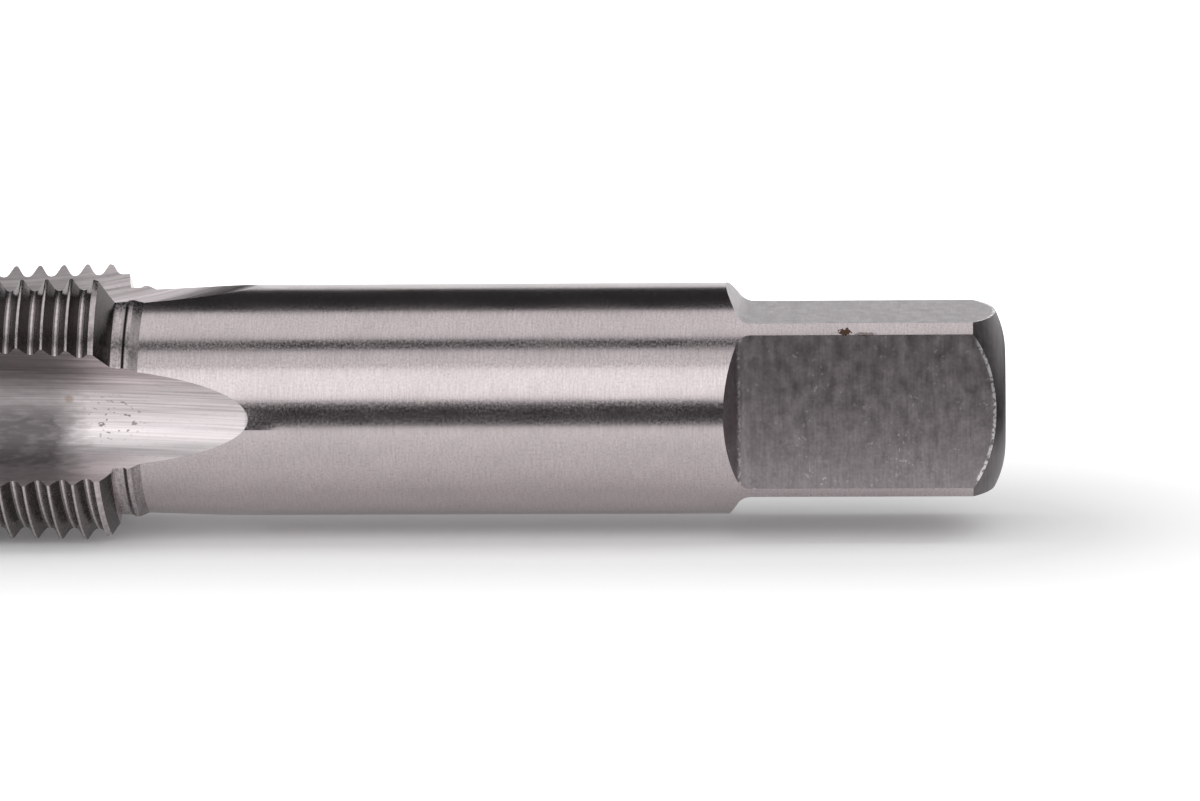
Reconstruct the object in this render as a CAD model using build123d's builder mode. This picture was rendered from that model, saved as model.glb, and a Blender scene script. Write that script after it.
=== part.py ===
from build123d import *

import os
from math import acos, ceil, cos, degrees, radians, sin, sqrt, tan

# A straight-fluted hand tap for 3/4-16 UNF threads, ground from one bar of tool steel.
# Millimetres. The axis of the tap is the X axis, with the origin halfway along it: the cutting
# point faces -X and the driving square +X. One flute and one flat of the square face -Y, and the
# others follow a quarter turn apart. It cuts a right-hand thread.

# Overall
overall_length = 107.95

# Thread: the crest that crosses the -Y side last is crest_setback short of the thread's end, and
# the lead tapers by point_drop down to the point
threads_per_inch = 16
major_diameter = 19.05
thread_length = 50.8
thread_angle = 60
flat_share_of_pitch = 1 / 8
crest_setback = 0.9
lead_threads = 4
point_drop = 1.175

# Rear end of the thread: the last crests are chamfered off by rear_chamfer_drop, then the shoulder
# drops to the neck. The root of the last groove is wider by runout_widening, where the grinding
# wheel was lifted out.
rear_chamfer_length = 1.4
rear_chamfer_drop = 0.58
shoulder_length = 0.18
runout_widening = 0.34

# Neck: a ground collar below the roots of the thread, with a low ridge where the grinding wheel
# left the shank
collar_below_root = 0.814
collar_length = 0.72
ridge_rise = 0.11
ridge_width = 0.28
ridge_ramp = 0.15
neck_chamfer_length = 0.6

# Flutes: an arc for the floor, with a steep hooked cutting face on one side of it and a sloped
# heel on the other, both angles taken from the flute's middle plane
flute_count = 4
web_diameter = 8.4
flute_floor_radius = 3.9
cutting_face_slope = 15
heel_slope = 35.5
flute_wheel_radius = 57
flute_runout_past_thread = 8.87

# Shank and driving square
shank_diameter = 14.986
flat_count = 4
square_across_flats = 11.227
square_length = 16.88
square_shoulder_angle = 60
square_foot_radius = 1.05

# Domed drive end
dome_length = 2.1
dome_radius = 6
end_face_diameter = 6.0

# Centre holes, 60 degrees, one in each end
centre_angle = 60
centre_mouth_diameter = 4.2
centre_pilot_diameter = 1.8
centre_depth = 4.0

# How far cutters reach past the metal that they remove
cutter_overrun = 1.0
groove_overrun = 0.1

# Stations along the axis
drive_x = overall_length / 2
point_x = -overall_length / 2
thread_end_x = point_x + thread_length
shoulder_x = thread_end_x - shoulder_length
rear_chamfer_x = shoulder_x - rear_chamfer_length
collar_end_x = thread_end_x + collar_length
ridge_x = collar_end_x + ridge_ramp
ridge_end_x = ridge_x + ridge_width
shank_x = ridge_end_x + neck_chamfer_length
dome_x = drive_x - dome_length
square_foot_x = drive_x - square_length

# Radii
major_radius = major_diameter / 2
shank_radius = shank_diameter / 2
web_radius = web_diameter / 2

# Pitch and depth of the thread
pitch = 25.4 / threads_per_inch
flat_width = pitch * flat_share_of_pitch
flank_run = pitch / 2 - flat_width
thread_depth = flank_run / tan(radians(thread_angle / 2))
root_radius = major_radius - thread_depth
collar_radius = root_radius - collar_below_root


# The turned blank
with BuildPart() as blank:
    with BuildSketch(Plane.XY):
        with BuildLine():
            Polyline(
                (drive_x, end_face_diameter / 2),
                (drive_x, 0),
                (point_x, 0),
                (point_x, major_radius - point_drop),
                (point_x + lead_threads * pitch, major_radius),
                (rear_chamfer_x, major_radius),
                (shoulder_x, major_radius - rear_chamfer_drop),
                (thread_end_x, collar_radius),
                (collar_end_x, collar_radius),
                (ridge_x, collar_radius + ridge_rise),
                (ridge_end_x, collar_radius + ridge_rise),
                (shank_x, shank_radius),
                (dome_x, shank_radius),
            )
            RadiusArc((dome_x, shank_radius), (drive_x, end_face_diameter / 2), dome_radius)
        make_face()
    revolve(axis=Axis.X)
    for end in (Plane((drive_x, 0, 0), z_dir=(1, 0, 0)), Plane((point_x, 0, 0), z_dir=(-1, 0, 0))):
        with Locations(end):
            CounterSinkHole(
                radius=centre_pilot_diameter / 2,
                counter_sink_radius=centre_mouth_diameter / 2,
                depth=centre_depth,
                counter_sink_angle=centre_angle,
            )


# One flute: straight from the point, then out of the metal along the grinding wheel's own arc
flute_depth_at_shank = shank_radius - web_radius
flute_arc_run = sqrt(2 * flute_wheel_radius * flute_depth_at_shank - flute_depth_at_shank**2)
flute_straight_end_x = thread_end_x + flute_runout_past_thread - flute_arc_run
flute_exit_angle = degrees(acos(1 - (major_radius - web_radius) / flute_wheel_radius))
flute_top = major_radius + cutter_overrun

cutting_angle = radians(cutting_face_slope)
heel_angle = radians(heel_slope)
floor_centre = web_radius + flute_floor_radius
cutting_foot = (
    -flute_floor_radius * cos(cutting_angle),
    floor_centre - flute_floor_radius * sin(cutting_angle),
)
heel_foot = (
    flute_floor_radius * cos(heel_angle),
    floor_centre - flute_floor_radius * sin(heel_angle),
)
cutting_top = (cutting_foot[0] - (flute_top - cutting_foot[1]) * tan(cutting_angle), flute_top)
heel_top = (heel_foot[0] + (flute_top - heel_foot[1]) * tan(heel_angle), flute_top)

with BuildPart() as flute_cutter:
    with BuildSketch(
        Plane((flute_straight_end_x, 0, 0), x_dir=(0, 0, 1), z_dir=(1, 0, 0))
    ) as flute_section:
        with BuildLine():
            Polyline(cutting_foot, cutting_top, heel_top, heel_foot)
            ThreePointArc(heel_foot, (0, web_radius), cutting_foot)
        make_face()
    extrude(amount=point_x - cutter_overrun - flute_straight_end_x)
    revolve(
        profiles=flute_section.sketch,
        axis=Axis((flute_straight_end_x, -(web_radius + flute_wheel_radius), 0), (0, 0, -1)),
        revolution_arc=flute_exit_angle,
    )


# Thread groove: one turn of it, less a gap that falls in the open flute facing +Y
groove_gap_angle = 36
groove_gap_run = pitch * groove_gap_angle / 360
groove_centre_x = thread_end_x - crest_setback + pitch / 2
groove_top = thread_depth + groove_overrun
groove_half_mouth = flat_width / 2 + groove_top * tan(radians(thread_angle / 2))


def groove_turn(widening):
    """One turn of the groove, its root made wider toward the thread's end by widening."""
    with BuildPart() as turn:
        with BuildLine() as path:
            Helix(pitch, pitch - groove_gap_run, root_radius, direction=(1, 0, 0))
        with BuildSketch(Plane(path.line @ 0, x_dir=(1, 0, 0), z_dir=(0, -1, 0))):
            with BuildLine():
                Polyline(
                    (-flat_width / 2, 0),
                    (flat_width / 2 + widening, 0),
                    (groove_half_mouth + widening, groove_top),
                    (-groove_half_mouth, groove_top),
                    close=True,
                )
            make_face()
        sweep(path=path.line, is_frenet=True)
    return turn.part


# One flat of the square, with the foot of its shoulder rounded
flat_height = square_across_flats / 2
cut_height = shank_radius + cutter_overrun
cut_end_x = drive_x + cutter_overrun
shoulder_top_x = square_foot_x - (cut_height - flat_height) / tan(radians(square_shoulder_angle))

with BuildPart() as square_cutter:
    with BuildSketch(Plane.XZ):
        with BuildLine():
            FilletPolyline(
                (cut_end_x, flat_height),
                (square_foot_x, flat_height),
                (shoulder_top_x, cut_height),
                radius=square_foot_radius,
            )
            Polyline((shoulder_top_x, cut_height), (cut_end_x, cut_height), (cut_end_x, flat_height))
        make_face()
    extrude(amount=cut_height, both=True)


# The flutes and flats stand round the axis. The turns of the groove follow each other from the
# thread's end to the point: each starts half a gap past +Y, where the groove is half a turn
# short of the -Y side.
flute_places = [Location((0, 0, 0), (360 / flute_count * n, 0, 0)) for n in range(flute_count)]
flat_places = [Location((0, 0, 0), (360 / flat_count * n, 0, 0)) for n in range(flat_count)]
turn_rotation = groove_gap_angle / 2 - 90
last_turn_x = groove_centre_x - pitch / 2 + groove_gap_run / 2
groove_turns = ceil((last_turn_x - point_x + groove_half_mouth) / pitch) + 1
last_turn_place = Location((last_turn_x, 0, 0), (turn_rotation, 0, 0))
turn_places = [
    Location((last_turn_x - pitch * n, 0, 0), (turn_rotation, 0, 0))
    for n in range(1, groove_turns)
]

with BuildPart() as tap:
    add(blank.part)
    with Locations(*flute_places):
        add(flute_cutter.part, mode=Mode.SUBTRACT)
    with Locations(*flat_places):
        add(square_cutter.part, mode=Mode.SUBTRACT)
    with Locations(last_turn_place):
        add(groove_turn(runout_widening), mode=Mode.SUBTRACT)
    with Locations(*turn_places):
        add(groove_turn(0), mode=Mode.SUBTRACT)

tap.part.label = "tap"

os.makedirs("parts", exist_ok=True)
export_step(tap.part, "parts/tap.step")
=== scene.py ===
"""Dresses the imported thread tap: ground, milled and turned steel on a pale studio floor."""

from math import acos, atan2, ceil, cos, pi, radians, sin, sqrt, tan

import bmesh
import bpy
from mathutils import Matrix, Vector


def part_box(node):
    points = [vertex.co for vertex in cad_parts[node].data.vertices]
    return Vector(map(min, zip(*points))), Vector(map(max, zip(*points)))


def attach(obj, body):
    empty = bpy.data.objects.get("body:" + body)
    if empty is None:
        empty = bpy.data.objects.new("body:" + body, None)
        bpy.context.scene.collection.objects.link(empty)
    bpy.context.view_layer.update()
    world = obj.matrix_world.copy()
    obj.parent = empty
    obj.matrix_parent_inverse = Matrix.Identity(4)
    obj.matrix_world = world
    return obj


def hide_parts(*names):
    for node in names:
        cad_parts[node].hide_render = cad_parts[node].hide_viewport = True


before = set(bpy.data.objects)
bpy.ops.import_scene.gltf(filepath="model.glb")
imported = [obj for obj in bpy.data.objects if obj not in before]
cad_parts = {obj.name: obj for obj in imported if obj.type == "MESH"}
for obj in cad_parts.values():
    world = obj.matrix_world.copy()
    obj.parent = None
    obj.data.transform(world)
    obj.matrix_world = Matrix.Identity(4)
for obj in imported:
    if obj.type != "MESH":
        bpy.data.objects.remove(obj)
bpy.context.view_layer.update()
tap_low, tap_high = (Vector(corner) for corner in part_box("tap"))

bl_info = {
    "name": "Thread tap",
    "version": (1, 0, 0),
    "blender": (4, 5, 0),
    "location": "View3D > Sidebar > Thread tap",
    "description": "Models a straight-fluted hand tap with its ground, milled and turned finishes",
    "category": "Object",
}

mm = 0.001

# Lengths of the model, in millimetres
OVERRUN = 1  # how far cutters reach past the metal
GROOVE_OVERRUN = 0.1  # how far the groove's cutters reach past the crests
ROOT_ROUND = 0.38  # rounding of the groove's root
CREST_ROUND = 0.172  # rounding of the crests
LAST_FLANK_LEAD = 0.98  # advance of the last flank in one turn
LAST_FLANK_SHIFT = 0.17  # from the last groove's edge to the last flank, toward the point
LAST_FLANK_WIDTH = 0.7  # width of the last flank's cutter at the collar
LAST_FLANK_LIFT = 0.01  # metal left over the collar
WELD = 1e-5  # vertices this close are one
SLIVER = 1e-7  # edges this short are dissolved after the cuts, in metres

# Angles of the model
HALF_THREAD_ANGLE = radians(30)
HALF_CENTRE_ANGLE = radians(30)
GROOVE_GAP = radians(18)  # half of the last turn's gap, in the open flute at the back
LAST_FLANK_START = radians(78)  # from the front, over the upper land
LAST_FLANK_END = radians(-66)  # from the front, under the lower land
SHARP_EDGE = radians(25)  # edges that turn more than this stay sharp

# Steps of the curved shapes
BLANK_STEPS = 256
DOME_STEPS = 16
FLUTE_FLOOR_STEPS = 32
FLUTE_RUNOUT_STEPS = 48
FOOT_STEPS = 12
GROOVE_STEPS = 96  # in one turn


class TapSizes(bpy.types.PropertyGroup):
    """Driving dimensions of the tap, in millimetres"""

    overall_length: bpy.props.FloatProperty(
        name="Overall length", description="From the point to the drive end",
        default=(tap_high.x - tap_low.x) / mm,
    )
    threads_per_inch: bpy.props.FloatProperty(
        name="Threads per inch", description="Number of thread turns in one inch", default=16
    )
    major_diameter: bpy.props.FloatProperty(
        name="Major diameter", description="Diameter over the crests of the thread", default=19.05
    )
    thread_length: bpy.props.FloatProperty(
        name="Thread length", description="From the point to the neck", default=50.8
    )
    crest_setback: bpy.props.FloatProperty(
        name="Crest setback",
        description="From the thread's end to the crest that crosses the front side last",
        default=0.9,
    )
    lead_threads: bpy.props.FloatProperty(
        name="Lead threads", description="Number of tapered threads at the point", default=4
    )
    point_drop: bpy.props.FloatProperty(
        name="Point drop", description="How far the lead tapers down in radius", default=1.175
    )
    rear_chamfer_length: bpy.props.FloatProperty(
        name="Rear chamfer length", description="Chamfer over the last crests", default=1.4
    )
    rear_chamfer_drop: bpy.props.FloatProperty(
        name="Rear chamfer drop", description="Fall of the rear chamfer in radius", default=0.58
    )
    shoulder_length: bpy.props.FloatProperty(
        name="Shoulder length", description="From the rear chamfer down to the neck",
        default=0.18,
    )
    runout_widening: bpy.props.FloatProperty(
        name="Run-out widening", description="Extra width of the last groove's root", default=0.34
    )
    collar_below_root: bpy.props.FloatProperty(
        name="Collar below root", description="Step from the thread's root to the collar",
        default=0.814,
    )
    collar_length: bpy.props.FloatProperty(
        name="Collar length", description="Length of the turned collar", default=0.72
    )
    ridge_rise: bpy.props.FloatProperty(
        name="Ridge rise", description="Height of the low ridge over the collar", default=0.11
    )
    ridge_width: bpy.props.FloatProperty(
        name="Ridge width", description="Width of the ridge's top", default=0.28
    )
    ridge_ramp: bpy.props.FloatProperty(
        name="Ridge ramp", description="Length of the ridge's front slope", default=0.15
    )
    neck_chamfer_length: bpy.props.FloatProperty(
        name="Neck chamfer length", description="From the ridge down to the shank", default=0.6
    )
    web_diameter: bpy.props.FloatProperty(
        name="Web diameter", description="Core left between the floors of the flutes", default=8.4
    )
    flute_floor_radius: bpy.props.FloatProperty(
        name="Flute floor radius", description="Radius of the rounded floor", default=3.9
    )
    cutting_face_slope: bpy.props.FloatProperty(
        name="Cutting face slope", description="Degrees from the flute's middle plane", default=15
    )
    heel_slope: bpy.props.FloatProperty(
        name="Heel slope", description="Degrees from the flute's middle plane", default=35.5
    )
    flute_wheel_radius: bpy.props.FloatProperty(
        name="Flute wheel radius", description="Radius of the flute's run-out", default=57
    )
    flute_runout_past_thread: bpy.props.FloatProperty(
        name="Flute run-out", description="From the thread's end to the flute's tip",
        default=8.87
    )
    shank_diameter: bpy.props.FloatProperty(
        name="Shank diameter", description="Ground diameter of the shank", default=14.986
    )
    square_across_flats: bpy.props.FloatProperty(
        name="Square across flats", description="Width of the driving square", default=11.227
    )
    square_length: bpy.props.FloatProperty(
        name="Square length", description="From the drive end to the foot of the shoulder",
        default=16.88,
    )
    square_shoulder_angle: bpy.props.FloatProperty(
        name="Square shoulder angle", description="Slope of the shoulder, in degrees", default=60
    )
    square_foot_radius: bpy.props.FloatProperty(
        name="Square foot radius", description="Rounding at the shoulder's foot", default=1.05
    )
    dome_length: bpy.props.FloatProperty(
        name="Dome length", description="Length of the domed end", default=2.1
    )
    dome_radius: bpy.props.FloatProperty(
        name="Dome radius", description="Radius of the dome's arc", default=6
    )
    end_face_diameter: bpy.props.FloatProperty(
        name="End face diameter", description="Flat at the middle of the dome", default=6.0
    )
    centre_mouth_diameter: bpy.props.FloatProperty(
        name="Centre mouth diameter", description="Mouth of the centre holes", default=4.2
    )
    centre_pilot_diameter: bpy.props.FloatProperty(
        name="Centre pilot diameter", description="Pilot of the centre holes", default=1.8
    )
    centre_depth: bpy.props.FloatProperty(
        name="Centre depth", description="Depth of the centre holes", default=4.0
    )


class Studio(bpy.types.PropertyGroup):
    """Camera settings"""

    view_distance: bpy.props.FloatProperty(
        name="View distance", description="From the camera to the tap's axis", default=362 * mm,
        subtype="DISTANCE", unit="LENGTH",
    )
    view_station: bpy.props.FloatProperty(
        name="View station", description="Place on the axis that the camera looks at",
        default=27.744 * mm, subtype="DISTANCE", unit="LENGTH",
    )
    view_elevation: bpy.props.FloatProperty(
        name="View elevation", description="Height of the camera over the horizon",
        default=radians(9.45), subtype="ANGLE", unit="ROTATION",
    )
    view_azimuth: bpy.props.FloatProperty(
        name="View azimuth", description="Turn of the camera toward the drive end",
        default=radians(3.6), subtype="ANGLE", unit="ROTATION",
    )
    view_roll: bpy.props.FloatProperty(
        name="View roll", description="Roll of the camera", default=radians(-0.83),
        subtype="ANGLE", unit="ROTATION",
    )
    lens: bpy.props.FloatProperty(
        name="Lens", description="Focal length in millimetres", default=167.4
    )


# Meshes

def finish_mesh(bm, name, materials):
    """Closes a bmesh with its normals outwards and returns its object."""
    bmesh.ops.remove_doubles(bm, verts=bm.verts, dist=WELD)
    bmesh.ops.recalc_face_normals(bm, faces=bm.faces)
    bmesh.ops.scale(bm, vec=(mm, mm, mm), verts=bm.verts)
    mesh = bpy.data.meshes.new(name)
    bm.to_mesh(mesh)
    bm.free()
    for material in materials:
        mesh.materials.append(material)
    piece = bpy.data.objects.new(name, mesh)
    bpy.context.scene.collection.objects.link(piece)
    return piece


def chain(bm, points, closed=False):
    """Adds a run of edges through the points and returns its vertices and edges."""
    verts = [bm.verts.new(point) for point in points]
    pairs = list(zip(verts, verts[1:]))
    if closed:
        pairs.append((verts[-1], verts[0]))
    return verts, [bm.edges.new(pair) for pair in pairs]


def arc(centre, radius, start, end, steps):
    """Points of an arc in a plane, from one angle to the other."""
    turns = [start + (end - start) * n / steps for n in range(steps + 1)]
    return [(centre[0] + radius * cos(turn), centre[1] + radius * sin(turn)) for turn in turns]


class Stations:
    """Places along the axis and radii, worked out from the driving dimensions."""

    def __init__(self, s):
        self.drive = s.overall_length / 2
        self.point = -s.overall_length / 2
        self.thread_end = self.point + s.thread_length
        self.shoulder = self.thread_end - s.shoulder_length
        self.rear_chamfer = self.shoulder - s.rear_chamfer_length
        self.collar_end = self.thread_end + s.collar_length
        self.ridge = self.collar_end + s.ridge_ramp
        self.ridge_end = self.ridge + s.ridge_width
        self.shank = self.ridge_end + s.neck_chamfer_length
        self.dome = self.drive - s.dome_length
        self.square_foot = self.drive - s.square_length
        self.pitch = 25.4 / s.threads_per_inch
        self.lead_end = self.point + s.lead_threads * self.pitch
        self.flat_width = self.pitch / 8
        self.thread_depth = (self.pitch / 2 - self.flat_width) / tan(HALF_THREAD_ANGLE)
        self.major_radius = s.major_diameter / 2
        self.root_radius = self.major_radius - self.thread_depth
        self.collar_radius = self.root_radius - s.collar_below_root
        self.shank_radius = s.shank_diameter / 2
        self.web_radius = s.web_diameter / 2


def dome_points(s, at):
    """The dome's arc from the shank to the flat end face."""
    start = Vector((at.dome, at.shank_radius))
    end = Vector((at.drive, s.end_face_diameter / 2))
    half = (end - start) / 2
    inward = Vector((half.y, -half.x)).normalized()
    centre = start + half + inward * sqrt(s.dome_radius**2 - half.length_squared)
    first = atan2(start.y - centre.y, start.x - centre.x)
    last = atan2(end.y - centre.y, end.x - centre.x)
    return arc(centre, s.dome_radius, first, last, DOME_STEPS)


def blank(s, at, materials):
    """The turned blank, spun from half its outline, with a centre hole in each end."""
    pilot = s.centre_pilot_diameter / 2
    mouth = s.centre_mouth_diameter / 2
    cone_depth = (s.centre_mouth_diameter - s.centre_pilot_diameter) / 2 / tan(HALF_CENTRE_ANGLE)

    # Two rings part the plain shank from the stretches that the flutes and the square cut into
    past_flutes = at.thread_end + s.flute_runout_past_thread + 2
    before_square = at.square_foot - 4
    outline = [
        (at.point + s.centre_depth, 0),
        (at.point + s.centre_depth, pilot),
        (at.point + cone_depth, pilot),
        (at.point, mouth),
        (at.point, at.major_radius - s.point_drop),
        (at.lead_end, at.major_radius),
        (at.rear_chamfer, at.major_radius),
        (at.shoulder, at.major_radius - s.rear_chamfer_drop),
        (at.thread_end, at.collar_radius),
        (at.collar_end, at.collar_radius),
        (at.ridge, at.collar_radius + s.ridge_rise),
        (at.ridge_end, at.collar_radius + s.ridge_rise),
        (at.shank, at.shank_radius),
        (past_flutes, at.shank_radius),
        (before_square, at.shank_radius),
        *dome_points(s, at),
        (at.drive, mouth),
        (at.drive - cone_depth, pilot),
        (at.drive - s.centre_depth, pilot),
        (at.drive - s.centre_depth, 0),
    ]
    bm = bmesh.new()
    verts, edges = chain(bm, [(x, 0, -r) for x, r in outline])
    bmesh.ops.spin(
        bm, geom=verts + edges, cent=(0, 0, 0), axis=(1, 0, 0), angle=2 * pi,
        steps=BLANK_STEPS, use_merge=True,
    )
    slots = {"crest": 1, "neck": 2, "dome": 3, "bore": 4}
    for face in bm.faces:
        middle = face.calc_center_median()
        radius = sqrt(middle.y**2 + middle.z**2)
        if middle.x < at.thread_end:
            face.material_index = slots["crest"]
        elif middle.x < at.shank:
            face.material_index = slots["neck"]
        elif middle.x > at.dome:
            face.material_index = slots["dome"]
        if radius < mouth:
            face.material_index = slots["bore"]
    return finish_mesh(bm, "tap_steel", materials)


def flute_cutter(s, at, material):
    """Four closed cutters, each a straight run and the arc of the wheel's way out."""
    depth = at.shank_radius - at.web_radius
    arc_run = sqrt(2 * s.flute_wheel_radius * depth - depth**2)
    straight_end = at.thread_end + s.flute_runout_past_thread - arc_run
    exit_angle = acos(1 - (at.major_radius - at.web_radius) / s.flute_wheel_radius)
    top = at.major_radius + OVERRUN
    start = at.point - OVERRUN
    cutting = radians(s.cutting_face_slope)
    heel = radians(s.heel_slope)
    floor_centre = at.web_radius + s.flute_floor_radius
    floor = arc(
        (0, floor_centre), s.flute_floor_radius, pi + cutting, 2 * pi - heel, FLUTE_FLOOR_STEPS
    )
    cutting_foot, heel_foot = floor[0], floor[-1]
    section = [
        (cutting_foot[0] - (top - cutting_foot[1]) * tan(cutting), top),
        *floor,
        (heel_foot[0] + (top - heel_foot[1]) * tan(heel), top),
    ]
    bm = bmesh.new()
    edges = chain(bm, [(start, -v, u) for u, v in section], closed=True)[1]
    bmesh.ops.contextual_create(bm, geom=edges)
    run = bmesh.ops.extrude_edge_only(bm, edges=edges)["geom"]
    moved = [part for part in run if isinstance(part, bmesh.types.BMVert)]
    rim = [part for part in run if isinstance(part, bmesh.types.BMEdge)]
    rim = [edge for edge in rim if all(vert in moved for vert in edge.verts)]
    bmesh.ops.translate(bm, verts=moved, vec=(straight_end - start, 0, 0))
    last = bmesh.ops.spin(
        bm, geom=moved + rim, cent=(straight_end, -at.web_radius - s.flute_wheel_radius, 0),
        axis=(0, 0, -1), angle=exit_angle, steps=FLUTE_RUNOUT_STEPS,
    )["geom_last"]
    bmesh.ops.contextual_create(
        bm, geom=[part for part in last if isinstance(part, bmesh.types.BMEdge)]
    )
    one = list(bm.verts) + list(bm.edges) + list(bm.faces)
    for quarter in (1, 2, 3):
        copy = bmesh.ops.duplicate(bm, geom=one)["geom"]
        bmesh.ops.rotate(
            bm, verts=[part for part in copy if isinstance(part, bmesh.types.BMVert)],
            cent=(0, 0, 0), matrix=Matrix.Rotation(quarter * pi / 2, 3, "X"),
        )
    return finish_mesh(bm, "flute_cutter", [material])


def screw(bm, section, radius, start, angle, pitch):
    """Sweeps a closed section about the axis and along it, and closes both ends."""
    verts, edges = chain(bm, [(x, -radius - r, 0) for x, r in section], closed=True)
    bmesh.ops.rotate(bm, verts=verts, cent=(0, 0, 0), matrix=Matrix.Rotation(-start, 3, "X"))
    bmesh.ops.contextual_create(bm, geom=edges)
    steps = round(abs(angle) / (2 * pi) * GROOVE_STEPS)
    last = bmesh.ops.spin(
        bm, geom=verts + edges, cent=(0, 0, 0), axis=(1, 0, 0), angle=angle, steps=steps,
        dvec=(pitch * angle / (2 * pi) / steps, 0, 0),
    )["geom_last"]
    bmesh.ops.contextual_create(
        bm, geom=[part for part in last if isinstance(part, bmesh.types.BMEdge)]
    )


def groove_section(at, centre, widening):
    """The groove's outline: rounded root and crests, made wider toward the thread's end."""
    slope, stretch, half = tan(HALF_THREAD_ANGLE), cos(HALF_THREAD_ANGLE), at.flat_width / 2
    root_centre = (ROOT_ROUND / stretch - half) / slope
    crest_centre = (at.pitch / 2 - CREST_ROUND / stretch - half) / slope
    side = [
        (ROOT_ROUND * sin(turn), root_centre - ROOT_ROUND * cos(turn))
        for turn in (0, radians(30), radians(60))
    ]
    side += [
        (at.pitch / 2 - CREST_ROUND * sin(turn), crest_centre + CREST_ROUND * cos(turn))
        for turn in (radians(60), radians(33), radians(7))
    ]
    side.append((side[-1][0], at.thread_depth + GROOVE_OVERRUN))
    left = [(centre - x, r) for x, r in reversed(side)]
    right = [(centre + widening + x, r) for x, r in side]
    if widening == 0:
        del right[0]
    return left + right


def groove_cutters(s, at, material):
    """The thread's groove: a long screw to the point, a wider last turn, and its far flank."""
    centre = at.thread_end - s.crest_setback + at.pitch / 2
    turns = ceil(s.thread_length / at.pitch) + 1
    long_screw = bmesh.new()
    screw(
        long_screw, groove_section(at, centre - at.pitch / 2, 0), at.root_radius, pi,
        -2 * pi * turns, at.pitch,
    )
    last_turn = bmesh.new()
    reach = pi - GROOVE_GAP
    section = groove_section(at, centre - at.pitch * reach / (2 * pi), s.runout_widening)
    screw(last_turn, section, at.root_radius, reach, 2 * reach, at.pitch)

    # On the front lands the last flank goes straight down to the collar
    flank = bmesh.new()
    slope = tan(HALF_THREAD_ANGLE)
    top = at.thread_depth + GROOVE_OVERRUN
    depth = s.collar_below_root - LAST_FLANK_LIFT
    foot = centre - LAST_FLANK_SHIFT - LAST_FLANK_LEAD * LAST_FLANK_START / (2 * pi)
    foot -= at.flat_width / 2
    section = [
        (foot - top * slope, top), (foot + depth * slope, -depth),
        (foot + LAST_FLANK_WIDTH, -depth), (foot + LAST_FLANK_WIDTH, top),
    ]
    screw(
        flank, section, at.root_radius, LAST_FLANK_START, LAST_FLANK_START - LAST_FLANK_END,
        LAST_FLANK_LEAD,
    )
    return [
        finish_mesh(long_screw, "groove_cutter", [material]),
        finish_mesh(last_turn, "last_groove_cutter", [material]),
        finish_mesh(flank, "last_flank_cutter", [material]),
    ]


def flat_cutter(s, at, material, quarter):
    """One flat of the square, with the rounded foot of its shoulder."""
    height = s.square_across_flats / 2
    top = at.shank_radius + OVERRUN
    end = at.drive + OVERRUN
    slope = radians(s.square_shoulder_angle)
    shoulder_top = at.square_foot - (top - height) / tan(slope)
    setback = s.square_foot_radius * tan(slope / 2)
    foot = arc(
        (at.square_foot + setback, height + s.square_foot_radius), s.square_foot_radius,
        -pi / 2, -pi / 2 - slope, FOOT_STEPS,
    )
    outline = [(end, height), *foot, (shoulder_top, top), (end, top)]
    bm = bmesh.new()
    edges = chain(bm, [(x, -top, z) for x, z in outline], closed=True)[1]
    bmesh.ops.contextual_create(bm, geom=edges)
    copy = bmesh.ops.extrude_face_region(bm, geom=bm.faces[:])["geom"]
    bmesh.ops.translate(
        bm, verts=[part for part in copy if isinstance(part, bmesh.types.BMVert)],
        vec=(0, 2 * top, 0),
    )
    bmesh.ops.rotate(
        bm, verts=bm.verts, cent=(0, 0, 0), matrix=Matrix.Rotation(quarter * pi / 2, 3, "X")
    )
    return finish_mesh(bm, "flat_cutter_" + str(quarter), [material])


def cut(piece, cutters):
    """Cuts the closed cutters out of the piece, removes them and clears faces of no area."""
    for cutter in cutters:
        boolean = piece.modifiers.new(cutter.name, "BOOLEAN")
        boolean.operation = "DIFFERENCE"
        boolean.solver = "EXACT"
        boolean.material_mode = "TRANSFER"
        boolean.object = cutter
    shape = bpy.data.meshes.new_from_object(
        piece.evaluated_get(bpy.context.evaluated_depsgraph_get())
    )
    shape.name = piece.name
    bm = bmesh.new()
    bm.from_mesh(shape)
    bmesh.ops.dissolve_degenerate(bm, dist=SLIVER, edges=bm.edges)
    bm.to_mesh(shape)
    bm.free()
    piece.modifiers.clear()
    piece.data = shape
    for cutter in cutters:
        bpy.data.objects.remove(cutter)


# Finishes

STEEL = (0.535, 0.478, 0.486)  # bright ground steel
MILLED = (0.335, 0.3, 0.314)  # the duller milled flats
FLUTE = (0.66, 0.602, 0.612)  # flutes, ground lengthwise
FLUTE_PAINTED_HIGHLIGHT = (0.95, 0.91, 0.92)  # painted highlight: the lower side of a flute
SHADED_FLANK = (0.2, 0.182, 0.178)  # painted shade: flanks of the thread, steel darkened
RUST = (0.075, 0.045, 0.03)
STAIN = (0.3, 0.2, 0.12)
SPECK = (0.6, 0.57, 0.58)  # bright specks on the flats
EDGE_HIGHLIGHT = (0.95, 0.92, 0.93)  # painted highlights on the edges of the flats

# Stations and radii of fine marks, in millimetres
DOME_CENTRE = (47.975, 2.933)  # centre of the dome's arc
NECK_SHADE_LINE = -2.38  # painted shade: a dark line between the collar and the ridge
NECK_CHAMFER = -2.03
FOOT_LINE = 36.95  # foot of the square's shoulder


def add_node(tree, kind, inputs=None, **settings):
    """Adds a shader node, with its settings, values and links."""
    node = tree.nodes.new("ShaderNode" + kind)
    for key, value in settings.items():
        setattr(node, key, value)
    for key, value in (inputs or {}).items():
        if isinstance(value, bpy.types.NodeSocket):
            tree.links.new(value, node.inputs[key])
        else:
            node.inputs[key].default_value = value
    return node


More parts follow.
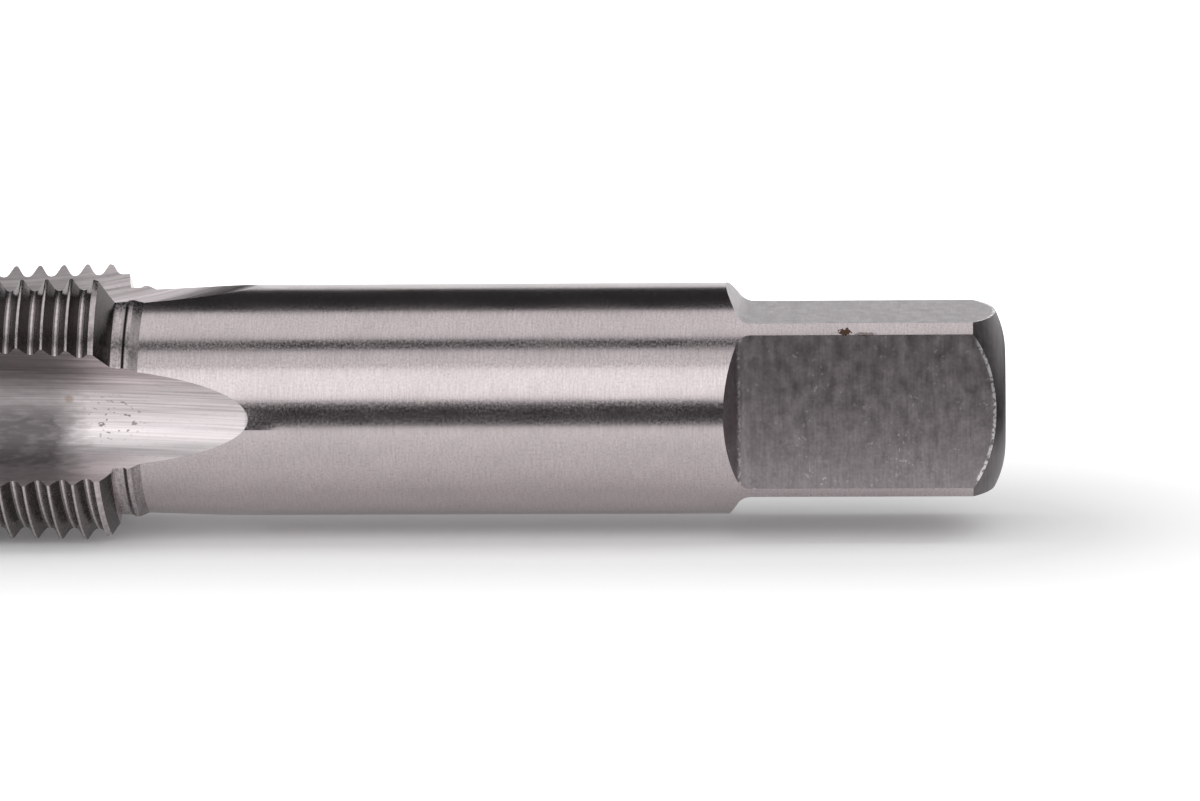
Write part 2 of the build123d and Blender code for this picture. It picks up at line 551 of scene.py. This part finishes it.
def calc(tree, operation, a, b=0.0, c=0.0):
    return add_node(tree, "Math", {0: a, 1: b, 2: c}, operation=operation).outputs[0]


def times(tree, a, b):
    return calc(tree, "MULTIPLY", a, b)


def between(tree, value, low, high, to_low, to_high):
    """Maps a value from one range to another, clamped."""
    return add_node(tree, "MapRange", {
        "Value": value, "From Min": low, "From Max": high, "To Min": to_low, "To Max": to_high,
    }).outputs["Result"]


def blend(tree, a, share_a, b, share_b):
    """Adds two values, each times its share."""
    return calc(tree, "ADD", times(tree, a, share_a), times(tree, b, share_b))


def mixed(tree, factor, a, b):
    """Mixes two colours."""
    a = (*a, 1) if isinstance(a, tuple) else a
    b = (*b, 1) if isinstance(b, tuple) else b
    return add_node(tree, "Mix", {0: factor, 6: a, 7: b}, data_type="RGBA").outputs[2]


def shaded(colour, share):
    return tuple(channel * share for channel in colour)


def toned(tree, tone, low, high, colour, dark, light):
    """A colour that goes from its dark share to its light share over a range of the tone."""
    return mixed(
        tree, between(tree, tone, low, high, 0.0, 1.0), shaded(colour, dark), shaded(colour, light)
    )


def vector(tree, operation, a, b):
    return add_node(tree, "VectorMath", {0: a, 1: b}, operation=operation).outputs[0]


def length(tree, a):
    return add_node(tree, "VectorMath", {0: a}, operation="LENGTH").outputs["Value"]


def joined(tree, x=0.0, y=0.0, z=0.0):
    """A vector of three values."""
    return add_node(tree, "CombineXYZ", {0: x, 1: y, 2: z}).outputs[0]


def place_mm(tree):
    """Object coordinates in millimetres: the vector and its three parts."""
    coords = add_node(tree, "TexCoord").outputs["Object"]
    place = add_node(tree, "VectorMath", {0: coords, "Scale": 1 / mm}, operation="SCALE").outputs[0]
    return place, add_node(tree, "SeparateXYZ", {0: place}).outputs


def wrapped_mm(tree, xyz, radius):
    """Along the axis, and round it measured at a radius, in millimetres."""
    turn = calc(tree, "ARCTAN2", xyz[2], xyz[1])
    return joined(tree, xyz[0], times(tree, turn, radius))


def from_axis(tree, xyz):
    """Distance from the tap's axis."""
    return length(tree, joined(tree, 0.0, xyz[1], xyz[2]))


def across_flute(tree, xyz):
    """Place across the width of the nearest flute, and one in the flutes at the front and back."""
    aside = calc(
        tree, "GREATER_THAN", calc(tree, "ABSOLUTE", xyz[1]), calc(tree, "ABSOLUTE", xyz[2])
    )
    return blend(tree, xyz[2], aside, xyz[1], calc(tree, "SUBTRACT", 1.0, aside)), aside


def noise(tree, place, per_mm, detail=2.0, shift=0.0):
    """Noise with its own fineness in each direction, in features per millimetre."""
    moved = add_node(
        tree, "Mapping", {"Vector": place, "Location": (shift,) * 3, "Scale": per_mm}
    ).outputs[0]
    return add_node(
        tree, "TexNoise", {"Vector": moved, "Scale": 1.0, "Detail": detail}
    ).outputs["Fac"]


def specks(tree, place, per_mm, share, shift=0.0):
    """Small scattered spots: a share of a noise's highest peaks."""
    return between(tree, noise(tree, place, per_mm, 1.0, shift), share, share + 0.04, 0.0, 1.0)


def spot(tree, place, centre, size):
    """Falls from one at a place to nothing at the spot's edge."""
    away = vector(tree, "DIVIDE", vector(tree, "SUBTRACT", place, centre), size)
    return between(tree, length(tree, away), 0.0, 1.0, 1.0, 0.0)


def band(tree, value, centre, half):
    """One along a line at the centre, fading to nothing at half its width."""
    away = calc(tree, "ABSOLUTE", calc(tree, "SUBTRACT", value, centre))
    return between(tree, away, half * 0.5, half, 1.0, 0.0)


def rust_mask(tree, place):
    """A small broken rust spot on the square's upper front edge."""
    grain = noise(tree, place, (5.5, 5.5, 5.5), 3.0, 8.0)
    core = calc(tree, "ADD", spot(tree, place, (43.75, -5.45, 5.12), (0.75, 0.6, 0.42)), grain)
    tail = calc(tree, "ADD", spot(tree, place, (45.0, -5.55, 5.0), (1.3, 0.3, 0.25)), grain)
    return calc(
        tree, "MAXIMUM", between(tree, core, 0.92, 1.0, 0.0, 1.0),
        between(tree, tail, 0.95, 1.1, 0.0, 0.6),
    )


def steel_material(name):
    """A new metal material, its node tree and its shader."""
    material = bpy.data.materials.new(name)
    material.use_nodes = True
    shader = material.node_tree.nodes["Principled BSDF"]
    shader.inputs["Metallic"].default_value = 1
    return material, material.node_tree, shader


def dress(tree, shader, colour, roughness, height, depth):
    """Joins a colour, a roughness and a height with its depth in millimetres to the shader."""
    tree.links.new(colour, shader.inputs["Base Color"])
    tree.links.new(roughness, shader.inputs["Roughness"])
    bump = add_node(tree, "Bump", {"Height": height, "Strength": 1.0, "Distance": depth * mm})
    tree.links.new(bump.outputs[0], shader.inputs["Normal"])


def ground_shank():
    """Cylindrically ground: fine rings round the shank, scratches and a few pits."""
    material, tree, shader = steel_material("ground_shank")
    place, xyz = place_mm(tree)
    round_it = wrapped_mm(tree, xyz, 7.5)
    rings = noise(tree, round_it, (9.0, 0.9, 1.0), 4.0)
    grain = noise(tree, round_it, (7.0, 6.0, 1.0), 3.0, 5.0)
    cloud = noise(tree, round_it, (0.25, 0.35, 1.0), 3.0, 11.0)
    tone = blend(tree, rings, 0.4, grain, 0.6)
    colour = toned(tree, tone, 0.32, 0.68, STEEL, 0.78, 1.15)
    colour = mixed(tree, between(tree, cloud, 0.35, 0.7, 0.0, 0.12), colour, shaded(STEEL, 0.6))

    # Pits anywhere, dust where the cloud is thick, and scratches round the shank
    pits = specks(tree, round_it, (2.2, 3.0, 1.0), 0.79, 31.0)
    dust = specks(tree, round_it, (6.0, 6.0, 1.0), 0.73, 47.0)
    dust = times(tree, dust, between(tree, cloud, 0.5, 0.62, 0.0, 0.8))
    scratches = specks(tree, round_it, (0.9, 9.0, 1.0), 0.8, 77.0)
    marks = calc(tree, "MAXIMUM", pits, dust)
    marks = calc(tree, "MAXIMUM", marks, times(tree, scratches, 0.6))
    colour = mixed(tree, times(tree, marks, 0.75), colour, shaded(STEEL, 0.3))

    rough = between(tree, grain, 0.3, 0.7, 0.14, 0.25)
    rough = calc(tree, "ADD", rough, between(tree, cloud, 0.35, 0.65, -0.02, 0.02))
    colour = mixed(tree, rust_mask(tree, place), colour, RUST)
    dress(tree, shader, colour, rough, grain, 0.0012)
    return material


def ground_crest():
    """The thread's crests: bright, with a few nicks along them."""
    material, tree, shader = steel_material("ground_crest")
    round_it = wrapped_mm(tree, place_mm(tree)[1], 9.5)
    nicks = noise(tree, round_it, (3.0, 2.5, 1.0), 4.0)
    lines = noise(tree, round_it, (9.0, 0.6, 1.0), 3.0, 5.0)
    colour = toned(tree, blend(tree, nicks, 0.6, lines, 0.4), 0.35, 0.65, STEEL, 0.7, 1.25)
    dress(tree, shader, colour, between(tree, nicks, 0.3, 0.7, 0.22, 0.36), nicks, 0.006)
    return material


def turned_neck():
    """The neck: fine rings with faint chatter marks across them, a painted shade line between the
    collar and the ridge, and painted shade over the chamfer.
    """
    material, tree, shader = steel_material("turned_neck")
    xyz = place_mm(tree)[1]
    round_it = wrapped_mm(tree, xyz, 7.7)
    rings = noise(tree, round_it, (6.0, 0.5, 1.0), 3.0)
    chatter = noise(tree, round_it, (5.0, 4.0, 1.0), 3.0, 3.0)
    colour = toned(tree, blend(tree, rings, 0.5, chatter, 0.5), 0.36, 0.6, STEEL, 0.5, 1.05)
    # Painted shade: a dark line where the collar rises to the ridge
    colour = mixed(tree, band(tree, xyz[0], NECK_SHADE_LINE, 0.16), colour, shaded(STEEL, 0.2))
    # Painted shade: the chamfer down to the shank is darker
    chamfer = between(tree, xyz[0], NECK_CHAMFER, NECK_CHAMFER + 0.06, 0.0, 0.5)
    colour = mixed(tree, chamfer, colour, shaded(STEEL, 0.3))
    dress(tree, shader, colour, between(tree, chatter, 0.3, 0.7, 0.2, 0.34), rings, 0.003)
    return material


def turned_dome():
    """The domed end: dull turned rings."""
    material, tree, shader = steel_material("turned_dome")
    place, xyz = place_mm(tree)
    rings = noise(tree, wrapped_mm(tree, xyz, 5.0), (6.0, 0.35, 1.0), 3.0)
    mottle = noise(tree, place, (1.6, 1.6, 1.6), 4.0, 7.0)
    colour = toned(tree, blend(tree, rings, 0.4, mottle, 0.6), 0.35, 0.65, MILLED, 0.36, 0.62)
    dress(tree, shader, colour, between(tree, mottle, 0.3, 0.7, 0.4, 0.5), rings, 0.003)
    return material


def centre_hole():
    """The bored centre holes."""
    material, tree, shader = steel_material("centre_hole")
    rings = noise(tree, wrapped_mm(tree, place_mm(tree)[1], 1.5), (6.0, 0.4, 1.0), 3.0)
    colour = toned(tree, rings, 0.3, 0.7, MILLED, 0.6, 1.0)
    dress(tree, shader, colour, between(tree, rings, 0.3, 0.7, 0.3, 0.42), rings, 0.004)
    return material


def ground_flute():
    """Flutes ground lengthwise: dull and darkened with painted shade toward the point, bright at
    the run-out, with a painted highlight on the lower side and a few stains.
    """
    material, tree, shader = steel_material("ground_flute")
    place, xyz = place_mm(tree)
    across, aside = across_flute(tree, xyz)
    along = joined(tree, xyz[0], across, aside)
    lines = noise(tree, along, (0.12, 9.0, 9.0), 3.0)
    broad = noise(tree, along, (0.08, 1.6, 9.0), 3.0, 4.0)
    cloud = noise(tree, place, (0.9, 3.0, 3.0), 6.0, 9.0)

    # A dull patch with painted shade in its colour and a ragged edge, strongest below the middle of
    # the front flute
    edge = calc(tree, "ADD", xyz[0], between(tree, cloud, 0.3, 0.7, -0.7, 0.7))
    dull = between(tree, edge, -7.2, -4.6, 1.0, 0.0)
    dull = times(tree, dull, between(tree, xyz[2], -0.6, 0.8, 1.0, 0.5))
    dull = times(tree, dull, between(tree, xyz[2], -4.4, -3.0, 0.35, 1.0))
    dull = times(tree, dull, between(tree, cloud, 0.3, 0.6, 0.86, 1.06))

    colour = toned(tree, blend(tree, lines, 0.7, broad, 0.3), 0.38, 0.62, FLUTE, 0.72, 1.2)
    # Painted highlight: the lower side of each flute is lighter
    colour = mixed(tree, between(tree, xyz[2], -2.6, 0.6, 0.45, 0.0), colour, FLUTE_PAINTED_HIGHLIGHT)
    # Painted shade: the patch's colour is darkened to about a quarter of the flute's
    colour = mixed(tree, dull, colour, shaded(FLUTE, 0.26))
    pitted = spot(tree, place, (-3.2, -5.0, -0.3), (2.6, 3.0, 1.9))
    marks = specks(tree, place, (2.6, 4.5, 4.5), 0.63, 21.0)
    marks = times(tree, marks, between(tree, pitted, 0.1, 0.5, 0.08, 0.8))
    colour = mixed(tree, marks, colour, shaded(STEEL, 0.3))
    stain = spot(tree, place, (-6.2, -5.2, 0.9), (0.5, 3.0, 0.4))
    colour = mixed(tree, between(tree, stain, 0.2, 0.6, 0.0, 0.5), colour, STAIN)
    rough = between(tree, lines, 0.3, 0.7, 0.28, 0.4)
    rough = calc(tree, "ADD", rough, times(tree, dull, 0.2))
    dress(tree, shader, colour, rough, lines, 0.005)
    return material


def ground_groove():
    """The thread: dull flanks ground along the helix and darkened with painted shade, with painted
    highlights on the roots and crests.
    """
    material, tree, shader = steel_material("ground_groove")
    place, xyz = place_mm(tree)
    radius = from_axis(tree, xyz)
    way = add_node(tree, "SeparateXYZ", {0: wrapped_mm(tree, xyz, 9.0)}).outputs
    lines = noise(tree, joined(tree, way[1], radius, way[0]), (0.5, 7.0, 2.0), 3.0)
    mottle = noise(tree, place, (2.5, 2.5, 2.5), 3.0, 6.0)
    tone = blend(tree, lines, 0.5, mottle, 0.5)
    # Painted shade: the flanks take a darkened steel colour
    colour = toned(tree, tone, 0.35, 0.65, SHADED_FLANK, 0.82, 1.06)

    # Painted shade: the flank behind the last crest is darker. This crest is nearer the point on
    # the upper lands.
    last_crest = between(tree, xyz[2], -2.0, 2.0, -4.4, -4.75)
    past_crest = calc(tree, "SUBTRACT", xyz[0], last_crest)
    last_flank = between(tree, past_crest, 0.0, 0.1, 0.0, 0.45)
    colour = mixed(tree, last_flank, colour, shaded(SHADED_FLANK, 0.2))

    # Painted highlights: bright lines along the roots' bottoms and the crests' rounding
    root = between(tree, radius, 8.711, 8.723, 1.0, 0.0)
    root = times(tree, root, between(tree, xyz[0], -4.5, -4.4, 1.0, 0.0))
    crest = between(tree, radius, 9.495, 9.515, 0.0, 0.8)
    bright = calc(tree, "MAXIMUM", root, crest)
    bright = times(tree, bright, between(tree, tone, 0.35, 0.6, 0.75, 1.0))
    colour = mixed(tree, bright, colour, shaded(STEEL, 1.35))
    dress(tree, shader, colour, between(tree, mottle, 0.3, 0.7, 0.22, 0.3), lines, 0.0006)
    return material


def milled_flat():
    """The square's flats: cross-milled and mottled, with painted highlights along their edges and a
    rust spot.
    """
    material, tree, shader = steel_material("milled_flat")
    place, xyz = place_mm(tree)
    marks = noise(tree, place, (6.0, 0.5, 0.5), 3.0)
    mottle = noise(tree, place, (1.3, 0.9, 0.9), 6.0, 3.0)
    grain = noise(tree, place, (4.5, 4.5, 4.5), 3.0, 8.0)
    tone = blend(tree, marks, 0.35, mottle, 0.25)
    tone = calc(tree, "ADD", tone, times(tree, grain, 0.4))
    colour = toned(tree, tone, 0.38, 0.62, MILLED, 0.8, 1.14)
    cluster = noise(tree, place, (0.35, 0.35, 0.35), 2.0, 41.0)
    bright = specks(tree, place, (4.0, 4.0, 4.0), 0.68, 14.0)
    bright = times(tree, bright, between(tree, cluster, 0.48, 0.6, 0.05, 0.75))
    colour = mixed(tree, bright, colour, SPECK)

    # Painted highlights along the edges where the flat meets the dome and the shoulder, broken up
    # by grain
    along = calc(tree, "SUBTRACT", xyz[0], DOME_CENTRE[0])
    out = calc(tree, "SUBTRACT", from_axis(tree, xyz), DOME_CENTRE[1])
    rim = band(tree, length(tree, joined(tree, along, out)), 5.94, 0.14)
    rim = times(tree, rim, between(tree, xyz[0], 52.0, 52.2, 0.0, 1.0))
    rim = times(tree, rim, between(tree, grain, 0.4, 0.52, 0.0, 1.0))
    foot = band(tree, xyz[0], FOOT_LINE, 0.13)
    foot = times(tree, foot, between(tree, grain, 0.5, 0.62, 0.0, 0.45))
    foot = times(tree, foot, between(tree, xyz[1], -5.0, -4.8, 1.0, 0.0))
    corner = spot(tree, place, (37.0, -5.6, 4.7), (0.3, 0.5, 0.3))
    # Painted highlights: the edges and a corner of the flats turn nearly white
    edge_highlight = calc(tree, "MAXIMUM", rim, calc(tree, "MAXIMUM", foot, corner))
    colour = mixed(tree, edge_highlight, colour, EDGE_HIGHLIGHT)

    colour = mixed(tree, rust_mask(tree, place), colour, RUST)
    dress(tree, shader, colour, between(tree, mottle, 0.3, 0.7, 0.28, 0.38), tone, 0.006)
    return material


class TAP_OT_body(bpy.types.Operator):
    """Model the tap: blank, flutes, thread and square"""

    bl_idname = "threadtap.body"
    bl_label = "Tap body"

    def execute(self, context):
        s = context.scene.tap_sizes
        at = Stations(s)
        flute, flat, groove = ground_flute(), milled_flat(), ground_groove()
        piece = blank(
            s, at, [ground_shank(), ground_crest(), turned_neck(), turned_dome(), centre_hole()]
        )
        cutters = [flute_cutter(s, at, flute)]
        cutters += [flat_cutter(s, at, flat, quarter) for quarter in range(4)]
        cutters += groove_cutters(s, at, groove)
        cut(piece, cutters)
        piece.data.shade_smooth()
        piece.data.set_sharp_from_angle(angle=SHARP_EDGE)
        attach(piece, "root")
        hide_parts("tap")
        return {"FINISHED"}


# Studio, in metres

LIGHT_X = 0.03  # middle of the lights along the tap
SOFTBOXES = (  # name, lowest and highest elevation in degrees, brightness
    ("low_softbox", 8, 41, 1.5),
    ("high_softbox", 42, 59.5, 0.92),
    ("top_softbox", 71, 107, 1.0),
)
SOFTBOX_DISTANCE = 0.6
SOFTBOX_LENGTH = 1.6
TENT_ELEVATIONS = (radians(6), radians(154))
TENT_RADII = (0.1, 0.75)
TENT_HALF_LENGTH = 0.95
TENT_STEPS = 24
CARD_LIFT = 0.0001  # from the floor to the black cards
CARD_NEAR = -0.0325
CARD_FAR = -0.107
CARD_RIGHT = 0.26
FLOOR_HALF = 1.5
WORLD_LIGHT = 0.4  # strength of the background as a light
SHADE_HALF_LENGTH = 48.0  # the floor keeps its shadow round this stretch, in millimetres
SHADE_FADE = (12.0, 60.0)  # from the axis, in millimetres
SHADE_WHITE = (0.08, 0.8)  # the floor's own white over that fade
SENSOR_WIDTH = 36  # of the camera, in millimetres
VIEW_DROP = 0.133 * mm  # the camera looks this far below the axis


def softbox(name, low, high, brightness):
    """A light parallel to the tap's axis that fills the sky between two elevations."""
    elevation = (low + high) / 2
    across = 2 * SOFTBOX_DISTANCE * tan((high - low) / 2)
    light = bpy.data.lights.new(name, "AREA")
    light.shape = "RECTANGLE"
    light.size = SOFTBOX_LENGTH
    light.size_y = across
    light.energy = pi * brightness * SOFTBOX_LENGTH * across
    lamp = bpy.data.objects.new(name, light)
    lamp.location = (
        LIGHT_X, -SOFTBOX_DISTANCE * cos(elevation), SOFTBOX_DISTANCE * sin(elevation)
    )
    lamp.rotation_euler = (pi / 2 - elevation, 0, 0)
    lamp.visible_camera = False
    bpy.context.scene.collection.objects.link(lamp)


def stage_object(name, bm, material):
    """An object of the studio, made from a bmesh."""
    mesh = bpy.data.meshes.new(name)
    bm.to_mesh(mesh)
    bm.free()
    mesh.materials.append(material)
    thing = bpy.data.objects.new(name, mesh)
    bpy.context.scene.collection.objects.link(thing)
    return thing


def matt(name, grey):
    """A new matt grey material and its shader."""
    material = bpy.data.materials.new(name)
    material.use_nodes = True
    shader = material.node_tree.nodes["Principled BSDF"]
    shader.inputs["Base Color"].default_value = (grey, grey, grey, 1)
    shader.inputs["Roughness"].default_value = 1
    return material, shader


def black_card(name, bm):
    """A matt black card that only reflections see."""
    card = stage_object(name, bm, matt(name, 0.03)[0])
    card.visible_camera = False
    card.visible_diffuse = False
    card.visible_shadow = False


def tent():
    """A black half tube over the softboxes, closed at its ends."""
    bm = bmesh.new()
    low, high = TENT_ELEVATIONS
    inner, outer = TENT_RADII
    half = TENT_HALF_LENGTH
    ray = Vector((0, -cos(low), sin(low)))
    points = [(-half, inner), (-half, outer), (half, outer), (half, inner)]
    verts, edges = chain(bm, [Vector((LIGHT_X + x, 0, 0)) + ray * r for x, r in points])
    bmesh.ops.spin(
        bm, geom=verts + edges, cent=(0, 0, 0), axis=(1, 0, 0), angle=low - high,
        steps=TENT_STEPS,
    )
    black_card("black_tent", bm)


def front_card():
    """Black cards on the floor in front of the tap and beside it, turned up at their far edges."""
    bm = bmesh.new()
    floor = tap_low.z + CARD_LIFT
    in_front = [
        [(-0.0155, CARD_NEAR, floor), (0.15, CARD_NEAR, floor)],
        [(-0.05, CARD_FAR, floor), (CARD_RIGHT, CARD_FAR, floor)],
        [(-0.05, CARD_FAR, 0.0105), (CARD_RIGHT, CARD_FAR, 0.0105)],
    ]
    beside = [
        [(0.068, CARD_NEAR, floor), (0.068, 0.15, floor)],
        [(CARD_RIGHT, CARD_NEAR, floor), (CARD_RIGHT, 0.15, floor)],
        [(CARD_RIGHT, CARD_NEAR, 0.06), (CARD_RIGHT, 0.15, 0.06)],
    ]
    for rows in (in_front, beside):
        corners = [[bm.verts.new(point) for point in row] for row in rows]
        for near, far in zip(corners, corners[1:]):
            bm.faces.new((near[0], near[1], far[1], far[0]))
    black_card("front_card", bm)


def reflected_white(tree, strength_seen, strength_lit):
    """Strength for rays that see the background, and for rays that only light with it."""
    path = add_node(tree, "LightPath").outputs
    seen = calc(tree, "MAXIMUM", path["Is Camera Ray"], path["Is Glossy Ray"])
    seen = calc(tree, "MAXIMUM", seen, path["Is Transmission Ray"])
    return between(tree, seen, 0.0, 1.0, strength_lit, strength_seen)


def white_world(scene):
    """A white background that lights less than it shows."""
    world = bpy.data.worlds.new("studio")
    world.use_nodes = True
    tree = world.node_tree
    background = tree.nodes["Background"]
    background.inputs["Color"].default_value = (1, 1, 1, 1)
    tree.links.new(reflected_white(tree, 1.0, WORLD_LIGHT), background.inputs["Strength"])
    scene.world = world


def pale_floor():
    """A floor that is white away from the tap and keeps its shadow beneath it."""
    material, shader = matt("pale_floor", 0.85)
    tree = material.node_tree
    shader.inputs["Specular IOR Level"].default_value = 0
    shader.inputs["Emission Color"].default_value = (1, 1, 1, 1)
    xyz = place_mm(tree)[1]
    beyond = calc(tree, "SUBTRACT", calc(tree, "ABSOLUTE", xyz[0]), SHADE_HALF_LENGTH)
    away = length(tree, joined(tree, calc(tree, "MAXIMUM", beyond, 0.0), xyz[1]))
    share = between(tree, away, *SHADE_FADE, *SHADE_WHITE)
    white = times(tree, reflected_white(tree, 1.0, 0.0), share)
    tree.links.new(white, shader.inputs["Emission Strength"])

    bm = bmesh.new()
    bmesh.ops.create_grid(bm, x_segments=1, y_segments=1, size=FLOOR_HALF)
    bmesh.ops.translate(bm, verts=bm.verts, vec=(0, 0, tap_low.z))
    stage_object("floor", bm, material)


def studio_camera(scene):
    """A long lens that looks at the shank from a little above."""
    st = scene.studio
    lens = bpy.data.cameras.new("camera")
    lens.lens = st.lens
    lens.sensor_width = SENSOR_WIDTH
    lens.clip_start = 0.01
    camera = bpy.data.objects.new("camera", lens)
    scene.collection.objects.link(camera)
    away = Vector((
        sin(st.view_azimuth) * cos(st.view_elevation),
        -cos(st.view_azimuth) * cos(st.view_elevation),
        sin(st.view_elevation),
    ))
    target = Vector((st.view_station, 0, -VIEW_DROP))
    camera.location = target + away * st.view_distance
    turn = away.to_track_quat("Z", "Y").to_matrix().to_4x4()
    camera.rotation_euler = (turn @ Matrix.Rotation(st.view_roll, 4, "Z")).to_euler()
    scene.camera = camera


class TAP_OT_stage(bpy.types.Operator):
    """Set the pale floor, the softboxes, the black cards and the camera"""

    bl_idname = "threadtap.stage"
    bl_label = "Studio"

    def execute(self, context):
        scene = context.scene
        scene.view_settings.view_transform = "Standard"
        white_world(scene)
        pale_floor()
        for name, low, high, brightness in SOFTBOXES:
            softbox(name, radians(low), radians(high), brightness)
        tent()
        front_card()
        studio_camera(scene)
        return {"FINISHED"}


class TAP_PT_panel(bpy.types.Panel):
    """Buttons for the tap and its studio"""

    bl_idname = "TAP_PT_panel"
    bl_label = "Thread tap"
    bl_space_type = "VIEW_3D"
    bl_region_type = "UI"
    bl_category = "Thread tap"

    def draw(self, context):
        for operator in OPERATORS:
            self.layout.operator(operator.bl_idname)


OPERATORS = (TAP_OT_body, TAP_OT_stage)
CLASSES = (TapSizes, Studio, *OPERATORS, TAP_PT_panel)


def register():
    for cls in CLASSES:
        bpy.utils.register_class(cls)
    bpy.types.Scene.tap_sizes = bpy.props.PointerProperty(type=TapSizes)
    bpy.types.Scene.studio = bpy.props.PointerProperty(type=Studio)


def unregister():
    del bpy.types.Scene.studio
    del bpy.types.Scene.tap_sizes
    for cls in reversed(CLASSES):
        bpy.utils.unregister_class(cls)


def main():
    register()
    bpy.ops.threadtap.body()
    bpy.ops.threadtap.stage()


if __name__ == "__main__":
    main()
